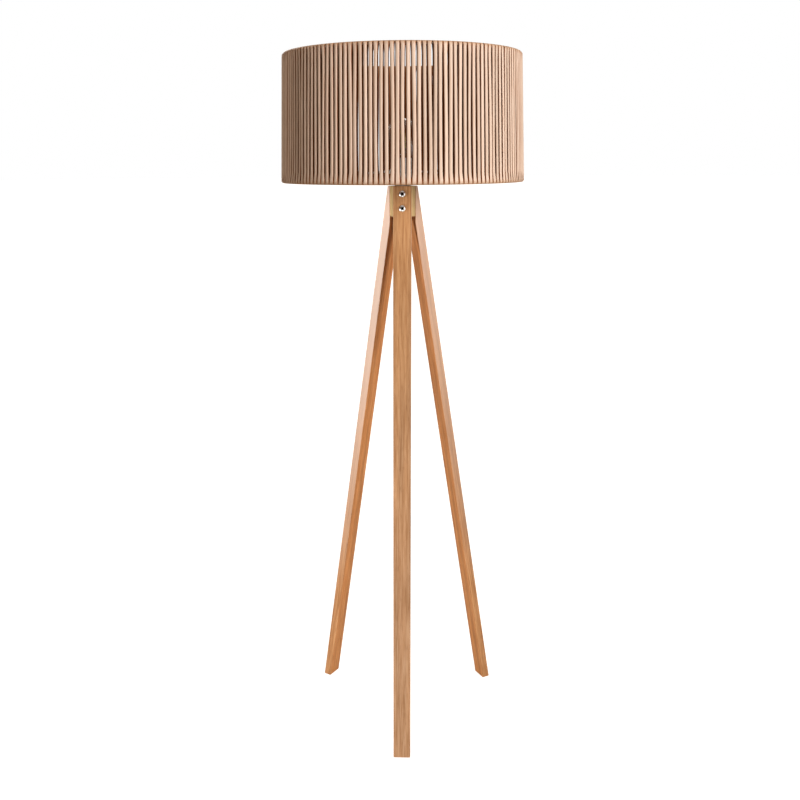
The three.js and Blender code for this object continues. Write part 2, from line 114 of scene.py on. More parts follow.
def entered(name, data, body, material, replaced=()):
    """A piece of a mesh or curve: its object sits at the origin, and its place is in its data.
    It rides on a body and stands for the replaced nodes."""
    piece = linked(name, data)
    data.materials.append(material)
    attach(piece, body)
    if replaced:
        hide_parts(*replaced)
    return piece


def finished(name, bm, body, material, replaced=(), sharp=30):
    """A piece of a bmesh. Its faces are smooth, but for edges sharper than that many degrees."""
    mesh = bpy.data.meshes.new(name)
    bm.to_mesh(mesh)
    bm.free()
    mesh.shade_smooth()
    mesh.set_sharp_from_angle(angle=math.radians(sharp))
    return entered(name, mesh, body, material, replaced)


def rounded(corners, steps=4):
    """An open outline whose corners (radius, height, rounding) are replaced by smooth bends. Its
    two ends keep their places."""
    outline = []
    for index, (radius, height, rounding) in enumerate(corners):
        here = Vector((radius, height))
        if rounding == 0 or index in (0, len(corners) - 1):
            outline.append(here)
            continue
        before = (Vector(corners[index - 1][:2]) - here).normalized()
        after = (Vector(corners[index + 1][:2]) - here).normalized()
        reach = rounding / math.tan(before.angle(after) / 2)
        start = here + before * reach
        end = here + after * reach
        for step in range(steps + 1):
            share = step / steps
            pull = start.lerp(here, share).lerp(here.lerp(end, share), share)
            outline.append(pull)
    return outline


def spun(outline, steps=64, closed=False):
    """A bmesh turned about the Z axis from an outline of (radius, height) in millimetres."""
    bm = bmesh.new()
    line = [bm.verts.new((point[0] * MM, 0, point[1] * MM)) for point in outline]
    edges = [bm.edges.new(pair) for pair in zip(line, line[1:])]
    if closed:
        edges.append(bm.edges.new((line[-1], line[0])))
    bmesh.ops.spin(
        bm, geom=line + edges, cent=(0, 0, 0), axis=(0, 0, 1), angle=TURN,
        steps=steps, use_merge=True, use_duplicate=False,
    )
    bmesh.ops.remove_doubles(bm, verts=bm.verts, dist=SAME_PLACE)
    bmesh.ops.recalc_face_normals(bm, faces=bm.faces)
    return bm


def place_ring(verts, radius, height):
    """Moves a loop of verts about the Z axis to a radius and a height in millimetres. The radius
    may be a function of the angle."""
    for vert in verts:
        angle = math.atan2(vert.co.y, vert.co.x)
        reach = max(radius(angle) if callable(radius) else radius, POINT)
        vert.co = Vector((reach * math.cos(angle), reach * math.sin(angle), height)) * MM


def drawn(rings, segments=48, closed=False):
    """A bmesh drawn up about the Z axis, ring by ring, from (radius, height) pairs. Closed joins
    the last ring to the first, and otherwise a flat face closes each open end."""
    bm = bmesh.new()
    made = bmesh.ops.create_circle(bm, cap_ends=False, segments=segments, radius=1)
    place_ring(made["verts"], *rings[0])
    first = loop = list(bm.edges)
    for ring in rings[1:]:
        made = bmesh.ops.extrude_edge_only(bm, edges=loop)
        verts = {item for item in made["geom"] if isinstance(item, bmesh.types.BMVert)}
        loop = [edge for edge in bm.edges if edge.is_boundary and verts.issuperset(edge.verts)]
        place_ring(verts, *ring)
    if closed:
        bmesh.ops.bridge_loops(bm, edges=first + loop)
    else:
        bmesh.ops.holes_fill(bm, edges=first + loop)
    bmesh.ops.remove_doubles(bm, verts=bm.verts, dist=SAME_PLACE)
    bmesh.ops.dissolve_degenerate(bm, edges=bm.edges, dist=NO_LENGTH)
    bmesh.ops.recalc_face_normals(bm, faces=bm.faces)
    return bm


def hexagon(across_flats, most=math.inf):
    """The radius of a hexagon at an angle, cut back to a circle of radius most."""
    def radius(angle):
        return min(across_flats / 2 / math.cos(angle % (TURN / 6) - TURN / 12), most)
    return radius


def helix(middle, depth, pitch, height):
    """The radius of a right-hand round thread at an angle, at one height."""
    def radius(angle):
        return middle + depth * math.cos(angle - TURN * height / pitch)
    return radius


def threaded(middle, depth, pitch, bottom, top, steps=6):
    """The rings of a thread from bottom to top, with that many rings to a pitch. It runs out
    to its middle radius at both ends."""
    rings = []
    count = round((top - bottom) / pitch * steps)
    for index in range(count + 1):
        height = lerp(bottom, top, index / count)
        fade = ease(min(index, count - index) / steps)
        rings.append((helix(middle, depth * fade, pitch, height), height))
    return rings


def ribbed(radius, depth, count):
    """The radius of a gripping surface at an angle: rounded ribs with narrow grooves."""
    def reach(angle):
        return radius - depth * (1 - abs(math.sin(count * angle / 2)))
    return reach


def wire(name, body, finish, lines, radius, replaced=()):
    """Round wires of a radius in metres, in a plain finish, along smooth lines through points."""
    data = bpy.data.curves.new(name, "CURVE")
    data.dimensions = "3D"
    data.bevel_depth = radius
    data.bevel_resolution = 3
    data.use_fill_caps = True
    data.resolution_u = 8
    for points in lines:
        spline = data.splines.new("BEZIER")
        spline.bezier_points.add(len(points) - 1)
        for knot, point in zip(spline.bezier_points, points):
            knot.co = point
            knot.handle_left_type = "AUTO"
            knot.handle_right_type = "AUTO"
    return entered(name, data, body, FINISHES[finish], replaced)


def copied(node):
    """A bmesh of a CAD node with its doubled corners merged and its flat faces whole."""
    bm = bmesh.new()
    bm.from_mesh(frame["nodes"][node].data)
    bmesh.ops.remove_doubles(bm, verts=bm.verts, dist=SAME_PLACE)
    bmesh.ops.dissolve_limit(
        bm, angle_limit=math.radians(1), use_dissolve_boundaries=False,
        verts=bm.verts, edges=bm.edges,
    )
    return bm


# ---------------------------------------------------------------- material helpers

def new_material(name, colour, roughness, metallic=0.0):
    material = bpy.data.materials.new(name)
    material.use_nodes = True
    shader = material.node_tree.nodes["Principled BSDF"]
    shader.inputs["Base Color"].default_value = (*colour, 1)
    shader.inputs["Roughness"].default_value = roughness
    shader.inputs["Metallic"].default_value = metallic
    return material, shader


def add(material, kind, **settings):
    """A new node of that kind, with named inputs and properties set."""
    node = material.node_tree.nodes.new(kind)
    for name, value in settings.items():
        if hasattr(node, name):
            setattr(node, name, value)
        else:
            node.inputs[name.replace("_", " ").title()].default_value = value
    return node


def link(material, output, socket):
    material.node_tree.links.new(output, socket)


def stretched_noise(material, coordinates, size, stretch, detail=4.0, place=None, turn=None):
    """Noise with grains of that size in metres, stretched along the piece's own Z."""
    mapping = add(material, "ShaderNodeMapping", vector_type="TEXTURE")
    mapping.inputs["Scale"].default_value = (size, size, size * stretch)
    if place:
        mapping.inputs["Location"].default_value = place
    if turn:
        mapping.inputs["Rotation"].default_value = turn
    link(material, coordinates, mapping.inputs["Vector"])
    grain = add(material, "ShaderNodeTexNoise", scale=1.0, detail=detail)
    link(material, mapping.outputs["Vector"], grain.inputs["Vector"])
    return grain.outputs["Fac"]


def ramp(material, value, stops):
    """A colour ramp from (position, colour) stops."""
    node = add(material, "ShaderNodeValToRGB")
    elements = node.color_ramp.elements
    while len(elements) < len(stops):
        elements.new(0.5)
    for element, (position, colour) in zip(elements, stops):
        element.position = position
        element.color = (*colour, 1)
    link(material, value, node.inputs["Fac"])
    return node.outputs["Color"]


def mixed(material, kind, share, first, second):
    """A colour mix. Share and the two colours are sockets or values."""
    node = add(material, "ShaderNodeMix", data_type="RGBA", blend_type=kind)
    for name, value in (("Factor_Float", share), ("A_Color", first), ("B_Color", second)):
        socket = next(s for s in node.inputs if s.identifier == name)
        if isinstance(value, bpy.types.NodeSocket):
            link(material, value, socket)
        elif isinstance(value, tuple):
            socket.default_value = (*value, 1)
        else:
            socket.default_value = value
    return next(s for s in node.outputs if s.identifier == "Result_Color")


def scaled(material, value, low, high):
    """A value from 0 to 1 stretched to low to high."""
    node = add(material, "ShaderNodeMapRange")
    node.inputs["To Min"].default_value = low
    node.inputs["To Max"].default_value = high
    link(material, value, node.inputs["Value"])
    return node.outputs["Result"]


def calculated(material, operation, first, second=0.0):
    """A Math node's result. Each of the two values is a socket or a number."""
    node = add(material, "ShaderNodeMath", operation=operation)
    for socket, value in zip(node.inputs, (first, second)):
        if isinstance(value, bpy.types.NodeSocket):
            link(material, value, socket)
        else:
            socket.default_value = value
    return node.outputs["Value"]


def attribute(material, name):
    return add(material, "ShaderNodeAttribute", attribute_name=name).outputs["Fac"]


def add_bump(material, shader, height, strength, distance):
    bump = add(material, "ShaderNodeBump")
    bump.inputs["Strength"].default_value = strength
    bump.inputs["Distance"].default_value = distance
    link(material, height, bump.inputs["Height"])
    link(material, bump.outputs["Normal"], shader.inputs["Normal"])


def object_coordinates(material):
    return add(material, "ShaderNodeTexCoord").outputs["Object"]


# ---------------------------------------------------------------- wood

LEG_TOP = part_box("leg_front")[1].z
LEG_RADIUS_FLOOR = -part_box("leg_front")[0].y
LEG_RADIUS_TOP = 0.0255
LEG_SLOPE = (LEG_RADIUS_FLOOR - LEG_RADIUS_TOP) / LEG_TOP
LEG_LEAN = math.atan(LEG_SLOPE)

LEG_TONES = ((0.36, 0.17, 0.065), (0.47, 0.245, 0.113), (0.56, 0.32, 0.165))
HUB_TONES = ((0.44, 0.29, 0.11), (0.58, 0.40, 0.18), (0.68, 0.49, 0.25))
# Painted shade on a leg's outer face: it is darker and warmer towards its top.
OUTER_LOW_SHADE = (0.86, 0.90, 1.0)
OUTER_TOP_SHADE = (0.84, 0.78, 0.66)
# Painted shade: a leg's inner face, which faces the other legs, is darker and more orange.
INNER_FACE_SHADE = (1.0, 0.80, 0.58)
SIDE_FACE_TONE = (0.86, 0.77, 0.64)
# Painted sheen: a leg's sides grow paler towards its top, most on the left leg.
SIDE_SHEEN_TONE = (0.74, 0.53, 0.41)
SIDE_SHEEN_SHARES = {"front": 0.6, "right": 0.5, "left": 1.0}

# The shares of a leg's height between which the painted shade of its outer face and the painted
# sheen of its sides change.
CHANGE_FROM = 0.2
CHANGE_TO = 0.86

# The layers of the grain: size across it in metres, stretch along it and detail.
STREAKS = (0.0026, 30, 5)
BANDS = (0.012, 40, 2)
PORES = (0.0009, 24, 2)
CLOUDS = (0.05, 5, 1)

# Where the hub's grain and each next leg's grain start, in metres, so that no two look alike.
HUB_GRAIN = (0.3, 0.2, 0.1)
HUB_GRAIN_TURN = (0, 0, 0.4)
LEG_GRAIN_STEP = 0.37

LEG_EASING = 0.0012
HUB_EASING = 0.001


def wood(name, tones, place, turn, sheen_share=0.0):
    """Straight-grained oiled wood. The grain runs along the Z axis of the frame that place and
    turn give. The tones are the dark streaks, the body and the light streaks. On a leg, the
    outer face is darker and warmer towards its top, which is painted shade, the inner face is
    darker, which is painted shade too, and the sides grow paler towards the top, which is a
    painted sheen, as far as the last argument says."""
    dark, body, light = tones
    material, shader = new_material(name, body, 0.5)
    coordinates = object_coordinates(material)
    streaks, bands, pores, clouds = (
        stretched_noise(material, coordinates, *layer, place, turn)
        for layer in (STREAKS, BANDS, PORES, CLOUDS)
    )
    colour = ramp(material, streaks, [(0.34, dark), (0.5, body), (0.66, light)])
    banding = ramp(material, bands, [(0.3, (0.80, 0.80, 0.80)), (0.7, (1.12, 1.12, 1.12))])
    colour = mixed(material, "MULTIPLY", 1.0, colour, banding)
    pore_tone = ramp(material, pores, [(0.30, (0.62, 0.55, 0.5)), (0.42, (1, 1, 1))])
    colour = mixed(material, "MULTIPLY", 0.85, colour, pore_tone)
    cloud_tone = ramp(material, clouds, [(0.3, (0.9, 0.87, 0.84)), (0.7, (1.08, 1.08, 1.08))])
    colour = mixed(material, "MULTIPLY", 1.0, colour, cloud_tone)
    split = add(material, "ShaderNodeSeparateXYZ")
    link(material, coordinates, split.inputs["Vector"])
    rise = add(material, "ShaderNodeMapRange")
    rise.inputs["From Min"].default_value = CHANGE_FROM * LEG_TOP
    rise.inputs["From Max"].default_value = CHANGE_TO * LEG_TOP
    link(material, split.outputs["Z"], rise.inputs["Value"])
    rise = rise.outputs["Result"]
    # Painted shade: the outer face grows darker and warmer towards its top.
    outer_face_shade = ramp(material, rise, [(0, OUTER_LOW_SHADE), (1, OUTER_TOP_SHADE)])
    colour = mixed(material, "MULTIPLY", attribute(material, "outer"), colour, outer_face_shade)
    # Painted shade: the inner face is darker.
    colour = mixed(material, "MULTIPLY", attribute(material, "inner"), colour, INNER_FACE_SHADE)
    side = attribute(material, "side")
    colour = mixed(material, "MULTIPLY", side, colour, SIDE_FACE_TONE)
    # Painted sheen: the sides grow paler towards the top.
    pale = calculated(material, "MULTIPLY", side, rise)
    pale = calculated(material, "MULTIPLY", pale, sheen_share)
    colour = mixed(material, "MIX", pale, colour, SIDE_SHEEN_TONE)
    link(material, colour, shader.inputs["Base Color"])
    link(material, scaled(material, streaks, 0.62, 0.42), shader.inputs["Roughness"])
    shader.inputs["Specular IOR Level"].default_value = 0.35
    add_bump(material, shader, pores, 0.35, 0.00025)
    return material


def softened(node, width, segments=3):
    """A CAD node's shape with its sharp outside edges rounded. The rims of round holes stay."""
    bm = copied(node)
    long_edge = 0.008
    sharp_edge = math.radians(20)
    edges = [
        edge for edge in bm.edges
        if len(edge.link_faces) == 2
        and edge.calc_face_angle_signed() > sharp_edge
        and edge.calc_length() > long_edge
    ]
    bmesh.ops.bevel(
        bm, geom=edges, offset=width, offset_type="OFFSET", affect="EDGES",
        segments=segments, profile=0.5, material=-1, clamp_overlap=True,
    )
    return bm


def mark_leg_faces(bm, azimuth):
    """Tells the leg's outer face and its inner face from its sides. The marks carry painted shade
    on the outer and inner faces and a painted sheen on the sides.
    """
    outer = bm.faces.layers.float.new("outer")
    inner = bm.faces.layers.float.new("inner")
    side = bm.faces.layers.float.new("side")
    nearly_square = 0.8
    for face in bm.faces:
        across = face.normal.copy()
        across.rotate(Matrix.Rotation(-azimuth, 3, "Z"))
        face[outer] = float(across.y < -nearly_square)
        face[inner] = float(across.y > nearly_square)
        face[side] = float(abs(across.x) > nearly_square)


def make_tripod():
    for index, name in enumerate(LEG_NAMES):
        azimuth = index * TURN / len(LEG_NAMES)
        foot = Vector((index * LEG_GRAIN_STEP, -LEG_RADIUS_FLOOR, 0))
        foot.rotate(Matrix.Rotation(azimuth, 3, "Z"))
        lean = (-LEG_LEAN, 0, azimuth)
        material = wood(f"leg_wood_{name}", LEG_TONES, foot, lean, SIDE_SHEEN_SHARES[name])
        bm = softened(f"leg_{name}", LEG_EASING)
        bm.normal_update()
        mark_leg_faces(bm, azimuth)
        finished(f"leg_bar_{name}", bm, "stand", material, [f"leg_{name}"])
    material = wood("hub_wood", HUB_TONES, HUB_GRAIN, HUB_GRAIN_TURN)
    bm = softened("hub_block", HUB_EASING)
    finished("hub_core", bm, "stand", material, ["hub_block"])


# ---------------------------------------------------------------- paper tape

TAPE_RUNS = 156
TAPE_THICKNESS = 0.0005
TAPE_LAP = 0.98
TAPE_CURL = tuple(math.radians(angle) for angle in (11, 30, 84))
RIM_BEND = 0.003
BAND_DEPTH = 0.0098
INNER_FOLD = 0.7
OUTER_ROWS = 11
BEND_ROWS = 3
INNER_ROWS = 6
TAPE_COLUMNS = 2 * len(TAPE_CURL)

# How the turns differ. Starts and lengths are shares of the shade's height, measured from each
# rim, over which the edges begin to curl.
CURL_SPREAD = (0.82, 1.16)
LOW_START = (0.005, 0.03)
LOW_LENGTH = (0.04, 0.09)
HIGH_START = (-0.02, 0.0)
HIGH_LENGTH = (0.04, 0.10)
SWAY = 0.0012
TWIST = 0.22

SHADE_LOW, SHADE_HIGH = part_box("shade_winding")
SHADE_BOTTOM = SHADE_LOW.z
SHADE_TOP = SHADE_HIGH.z
SHADE_RADIUS_BOTTOM = SHADE_HIGH.x
RING_LAP = 0.00425
SHADE_RADIUS_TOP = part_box("shade_top_ring")[1].x + RING_LAP


def tape_place(share):
    """Where the tape's middle line is at a share of its way round one turn: up the outside,
    over the top ring, down the inside and under the bottom ring. It gives how far the line is
    inside the shade's surface, its height from 0 to 1 between the rims, the way the tape's
    face looks (outward, upward) and how far inside the drum the line is, from 0 to 1."""
    rows = OUTER_ROWS + 2 * BEND_ROWS + INNER_ROWS
    row = share * rows
    skin = TAPE_THICKNESS / 2
    reach = RIM_BEND / (SHADE_TOP - SHADE_BOTTOM)
    if row <= OUTER_ROWS:
        way = (1 - math.cos(math.pi * row / OUTER_ROWS)) / 2
        return skin, lerp(reach, 1 - reach, way), (1, 0), 0
    if row <= OUTER_ROWS + BEND_ROWS:
        way = (row - OUTER_ROWS) / BEND_ROWS
        face = (math.cos(math.pi * way), math.sin(math.pi * way))
        return rim_depth(way), 1 - reach + reach * face[1], face, way
    if row <= OUTER_ROWS + BEND_ROWS + INNER_ROWS:
        way = (1 - math.cos(math.pi * (row - OUTER_ROWS - BEND_ROWS) / INNER_ROWS)) / 2
        return BAND_DEPTH - skin, lerp(1 - reach, reach, way), (-1, 0), 1
    way = (row - OUTER_ROWS - BEND_ROWS - INNER_ROWS) / BEND_ROWS
    face = (-math.cos(math.pi * way), -math.sin(math.pi * way))
    return rim_depth(1 - way), reach + reach * face[1], face, 1 - way


def rim_depth(way):
    """How far inside the shade's surface the tape's line is on its way round a rim."""
    skin = TAPE_THICKNESS / 2
    return lerp(skin, BAND_DEPTH - skin, (1 - math.cos(math.pi * way)) / 2)


def tape_section(column, width, curl, tilt):
    """How far sideways and inwards a column of the tape is from its middle. The strips from the
    middle to each edge turn inwards by the angles of TAPE_CURL, times curl."""
    strip = width / TAPE_COLUMNS
    way = math.copysign(1, column)
    side = drop = 0.0
    for angle in TAPE_CURL[:abs(column)]:
        side += way * strip * math.cos(angle * curl + way * tilt)
        drop += strip * math.sin(angle * curl + way * tilt)
    return side, drop


def make_tape_run(bm, layers, run, chance):
    """One turn of the tape round both rings. Away from the rings the tape's edges curl inwards,
    which leaves a gap between neighbouring turns."""
    tone, inside, rim = layers
    middle = run * TURN / TAPE_RUNS
    left_curl = chance.uniform(*CURL_SPREAD)
    right_curl = chance.uniform(*CURL_SPREAD)
    low_start = chance.uniform(*LOW_START)
    low_end = low_start + chance.uniform(*LOW_LENGTH)
    high_start = chance.uniform(*HIGH_START)
    high_end = high_start + chance.uniform(*HIGH_LENGTH)
    sway = chance.uniform(-SWAY, SWAY)
    sway_turn = chance.uniform(0, TURN / 5)
    twist = chance.uniform(-TWIST, TWIST)
    run_tone = chance.uniform(0, 1)
    made = bmesh.ops.create_grid(
        bm, x_segments=TAPE_COLUMNS,
        y_segments=OUTER_ROWS + 2 * BEND_ROWS + INNER_ROWS, size=1, calc_uvs=True,
    )
    for vert in made["verts"]:
        column = round(vert.co.x * TAPE_COLUMNS / 2)
        depth, height, face, inner = tape_place((vert.co.y + 1) / 2)
        radius = lerp(SHADE_RADIUS_BOTTOM, SHADE_RADIUS_TOP, height)
        width = TAPE_LAP * TURN * radius / TAPE_RUNS
        fold = ease((height - low_start) / (low_end - low_start))
        fold *= ease((1 - height - high_start) / (high_end - high_start))
        curl = fold * lerp(1, INNER_FOLD, inner) * (left_curl if column < 0 else right_curl)
        tilt = twist * fold * math.sin(math.pi * height)
        side, drop = tape_section(column, width, curl, tilt)
        side += sway * fold * math.sin(math.pi * height + sway_turn)
        radius -= depth + drop * face[0]
        angle = middle + side / radius - math.pi / 2
        level = lerp(SHADE_BOTTOM, SHADE_TOP, height)
        vert.co = Vector((radius * math.cos(angle), radius * math.sin(angle), level))
        # The inside and rim layers carry painted shade: the tape inside the drum, its bends over
        # the rings and a band along each rim are darker.
        near_rim = min(height, 1 - height) < 1.5 * RIM_BEND / (SHADE_TOP - SHADE_BOTTOM)
        vert[tone] = run_tone
        vert[inside] = inner
        vert[rim] = max(abs(face[1]), RIM_SHADE_SHARE * near_rim)
    return made["verts"]


TAPE_TONE = (0.80, 0.60, 0.465)
DARK_FIBRE_TONE = (0.68, 0.46, 0.33)
LIGHT_FIBRE_TONE = (0.88, 0.71, 0.59)
# Painted shade: the tape is dark brown inside the drum and darker where it bends over the rings,
# and a band along each rim takes some of that darker tone.
INSIDE_SHADE_TONE = (0.19, 0.058, 0.015)
RIM_SHADE_TONE = (0.54, 0.30, 0.155)
RIM_SHADE_SHARE = 0.35
TAPE_FIBRES = (24, 14, 1)

# The tape's painted shade from its edge inwards, by the share of its width: it is darker where the
# edges curl into the gaps.
EDGE_SHADE_TONES = [(0, (0.22, 0.07, 0.02)), (0.14, (0.44, 0.20, 0.09)), (0.20, (1, 1, 1))]


def paper_tape():
    """Beige paper tape with fine fibres. It is browner at its edges, inside the drum and on the
    rims, which is painted shade.
    """
    material, shader = new_material("paper_tape", TAPE_TONE, 0.42)
    uv = add(material, "ShaderNodeUVMap", uv_map="tape")
    fine = add(material, "ShaderNodeMapping")
    fine.inputs["Scale"].default_value = TAPE_FIBRES
    link(material, uv.outputs["UV"], fine.inputs["Vector"])
    fibres = add(material, "ShaderNodeTexNoise", scale=1.0, detail=4.0)
    link(material, fine.outputs["Vector"], fibres.inputs["Vector"])
    colour = ramp(
        material, fibres.outputs["Fac"],
        [(0.32, DARK_FIBRE_TONE), (0.5, TAPE_TONE), (0.68, LIGHT_FIBRE_TONE)],
    )
    run_tone = ramp(
        material, attribute(material, "tone"), [(0, (0.88, 0.86, 0.84)), (1, (1.08, 1.08, 1.08))],
    )
    colour = mixed(material, "MULTIPLY", 1.0, colour, run_tone)
    split = add(material, "ShaderNodeSeparateXYZ")
    link(material, uv.outputs["UV"], split.inputs["Vector"])
    across = calculated(material, "FRACT", split.outputs["X"])
    # Painted shade at both edges of each run, where they curl into the gaps.
    other_edge_shade = [(1 - share, tone) for share, tone in reversed(EDGE_SHADE_TONES)]
    edges = ramp(material, across, EDGE_SHADE_TONES + other_edge_shade)
    colour = mixed(material, "MULTIPLY", 1.0, colour, edges)
    # Painted shade: the tape inside the drum is dark brown.
    colour = mixed(material, "MIX", attribute(material, "inside"), colour, INSIDE_SHADE_TONE)
    # Painted shade where the tape bends over the rings and along the rims.
    colour = mixed(material, "MIX", attribute(material, "rim"), colour, RIM_SHADE_TONE)
    link(material, colour, shader.inputs["Base Color"])
    shader.inputs["Specular IOR Level"].default_value = 0.14
    add_bump(material, shader, fibres.outputs["Fac"], 0.5, 0.0002)
    return material


def make_tape():
    chance = random.Random(SEED)
    bm = bmesh.new()
    bm.loops.layers.uv.new("tape")
    layers = [bm.verts.layers.float.new(name) for name in ("tone", "inside", "rim")]
    for run in range(TAPE_RUNS):
        verts = make_tape_run(bm, layers, run, chance)
        for face in {face for vert in verts for face in vert.link_faces}:
            for loop in face.loops:
                loop[bm.loops.layers.uv.active].uv.x += run
        bmesh.ops.remove_doubles(bm, verts=verts, dist=SAME_PLACE)
    bmesh.ops.recalc_face_normals(bm, faces=bm.faces)
    piece = finished(
        "tape_winding", bm, "shade", paper_tape(), ["shade_winding"], sharp=75,
    )
    wall = piece.modifiers.new("thickness", "SOLIDIFY")
    wall.thickness = TAPE_THICKNESS
    wall.offset = 0


# ---------------------------------------------------------------- plain finishes

def metal(name, colour, roughness, shaded_socket=False):
    """Bright metal with a slightly uneven polish. On a screw, its socket can be painted black as
    shade in the recess.
    """
    material, shader = new_material(name, colour, roughness, 1.0)
    if shaded_socket:
        # Painted shade: the socket's faces are black.
        black = (0.01, 0.01, 0.01)
        tone = mixed(material, "MIX", attribute(material, "socket"), colour, black)
        link(material, tone, shader.inputs["Base Color"])
    coordinates = object_coordinates(material)
    polish = stretched_noise(material, coordinates, 0.002, 1, 3)
    link(material, scaled(material, polish, roughness * 0.7, roughness * 1.4),
         shader.inputs["Roughness"])
    return material


def moulded(name, colour, roughness):
    """Moulded plastic, fired clay or powder paint with a faint orange-peel surface."""
    material, shader = new_material(name, colour, roughness)
    coordinates = object_coordinates(material)
    peel = stretched_noise(material, coordinates, 0.0012, 1, 2)
    shade = tuple(channel * 0.93 for channel in colour)
    link(material, ramp(material, peel, [(0.3, shade), (0.7, colour)]),
         shader.inputs["Base Color"])
    link(material, scaled(material, peel, roughness * 0.85, roughness * 1.15),
         shader.inputs["Roughness"])
    add_bump(material, shader, peel, 0.15, 0.0001)
    return material


def clear_glass():
    material, shader = new_material("clear_glass", (1, 1, 1), 0.0)
    shader.inputs["Transmission Weight"].default_value = 1.0
    shader.inputs["IOR"].default_value = 1.46
    coordinates = object_coordinates(material)
    ripple = stretched_noise(material, coordinates, 0.02, 1, 1)
    add_bump(material, shader, ripple, 0.02, 0.001)
    return material


FINISHES = {
    "chrome": metal("chrome", (0.86, 0.86, 0.86), 0.26, shaded_socket=True),
    "brass": metal("brass", (0.62, 0.40, 0.13), 0.25),
    "steel": metal("steel", (0.45, 0.46, 0.47), 0.32),
    "bulb_cap_metal": metal("bulb_cap_metal", (0.66, 0.66, 0.66), 0.25),
    "white_plastic": moulded("white_plastic", (0.84, 0.83, 0.80), 0.35),
    "black_plastic": moulded("black_plastic", (0.012, 0.012, 0.012), 0.4),
    "porcelain": moulded("porcelain", (0.82, 0.79, 0.72), 0.2),
    "white_wire": moulded("white_wire", (0.74, 0.70, 0.63), 0.4),
    "filament": moulded("filament", (0.80, 0.55, 0.12), 0.6),
    "clear_glass": clear_glass(),
}


def finish_cad_nodes():
    """Gives each carried-over CAD node the finish that the record's slot names."""
    for row in frame["record"]["subparts"]:
        if row["material_slot"] in FINISHES:
            slots = frame["nodes"][row["node"]].data.materials
            slots.clear()
            slots.append(FINISHES[row["material_slot"]])


def made_of(name, bm, body, finish, replaced=(), sharp=30):
    """A finished piece in one of the plain finishes."""
    return finished(name, bm, body, FINISHES[finish], replaced, sharp)


# ---------------------------------------------------------------- screws and hub fittings

SCREW_PITCH = 1.25
SCREW_LENGTHS = {"upper": 20, "lower": 25}

# Each screw was tightened to another angle: the first one's, and the steps to the others.
FIRST_ANGLE = 0.35
NEXT_LEG_ANGLE = 1.1
UPPER_ANGLE = 0.5


def screw_seat(below, azimuth):
    """Where a screw seats on a leg's outer face: its own Z points out of the face."""
    height = LEG_TOP - below * MM
    radius = LEG_RADIUS_TOP + LEG_SLOPE * (LEG_TOP - height)
    seat = Matrix.Translation((0, -radius, height))
    seat = seat @ Matrix.Rotation(math.pi / 2 - LEG_LEAN, 4, "X")
    return Matrix.Rotation(azimuth, 4, "Z") @ seat


def button_screw(length):
    """An M8 button-head screw with a 5 mm hexagon socket, seated at height 0."""
    seat, crown = 0.3, 4.4
    rings = [(0, -length), (2.9, -length), (3.5, 0.8 - length)]
    rings += threaded(3.66, 0.32, SCREW_PITCH, 0.8 - length, -1.0)
    rings += [(3.9, -0.6), (4, seat), (6.7, seat), (6.95, seat + 0.15), (7, seat + 0.4)]
    rings += [(7, seat + 0.9)]
    dome_steps = 8
    for step in range(1, dome_steps + 1):
        angle = step / dome_steps * math.pi / 2
        rings.append((3.6 + 3.4 * math.cos(angle), seat + 0.9 + 3.2 * math.sin(angle)))
    rings += [(3.15, crown), (hexagon(5.3), crown), (hexagon(5), crown - 0.25)]
    rings += [(hexagon(5), crown - 2.6), (1.2, crown - 3.1), (0, crown - 3.2)]
    bm = drawn(rings)
    # Marks the socket's faces, which get painted shade.
    socket = bm.faces.layers.float.new("socket")
    for face in bm.faces:
        middle = face.calc_center_median() / MM
        face[socket] = float(middle.xy.length < 2.9 and -length < middle.z < crown - 0.05)
    return bm


def make_screws():
    for index, name in enumerate(LEG_NAMES):
        azimuth = index * TURN / len(LEG_NAMES)
        for level, below in SCREWS.items():
            bm = button_screw(SCREW_LENGTHS[level])
            angle = FIRST_ANGLE + NEXT_LEG_ANGLE * index + UPPER_ANGLE * (level == "upper")
            place = screw_seat(below, azimuth) @ Matrix.Rotation(angle, 4, "Z")
            bmesh.ops.transform(bm, matrix=place, verts=bm.verts)
            made_of(
                f"button_screw_{name}_{level}", bm, "stand", "chrome",
                [f"leg_screw_{name}_{level}"],
            )


def make_hub_fittings():
    low, high = (corner.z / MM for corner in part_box("tube_washer"))
    outline = rounded([(5.3, low, 0), (11, low, 0.4), (11, high, 0.4), (5.3, high, 0)])
    made_of("washer", spun(outline, 64, closed=True), "stand", "steel", ["tube_washer"])

    low, high = (corner.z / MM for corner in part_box("tube_nut"))
    bevel = 0.5
    nut = drawn([
        (5.7, low), (6.6, low), (hexagon(14, 7.3), low + 0.2), (hexagon(14), low + 0.8),
        (hexagon(14), high - 0.8), (hexagon(14, 7.3), high - 0.2), (6.6, high), (5.7, high),
        (5.3, high - bevel), (5.3, low + bevel),
    ], closed=True)
    made_of("hexagon_nut", nut, "stand", "steel", ["tube_nut"])

    low, high = (corner.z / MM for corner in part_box("threaded_tube"))
    bore = 3.5
    tube = [(bore, low + 0.3), (bore + 0.3, low), (4.4, low)]
    tube += threaded(4.7, 0.28, 1.0, low + 0.5, high - 0.5, steps=4)
    tube += [(4.4, high), (bore + 0.3, high), (bore, high - 0.3)]
    made_of("hollow_tube", drawn(tube, 32, closed=True), "stand", "steel", ["threaded_tube"])

    low, high = (corner.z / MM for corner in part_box("cord_bush"))
    tube_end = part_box("threaded_tube")[0].z / MM - 0.3
    bush = rounded([
        (3.7, tube_end, 0), (3.7, low, 0.9), (7, low, 0.9), (7, high, 0.3), (5.3, high, 0),
        (5.3, tube_end, 0),
    ])
    made_of("lead_bush", spun(bush, 48, closed=True), "stand", "black_plastic", ["cord_bush"])


# ---------------------------------------------------------------- lampholder

SOCKET_PITCH = 3.63
SOCKET_THREAD = 0.4


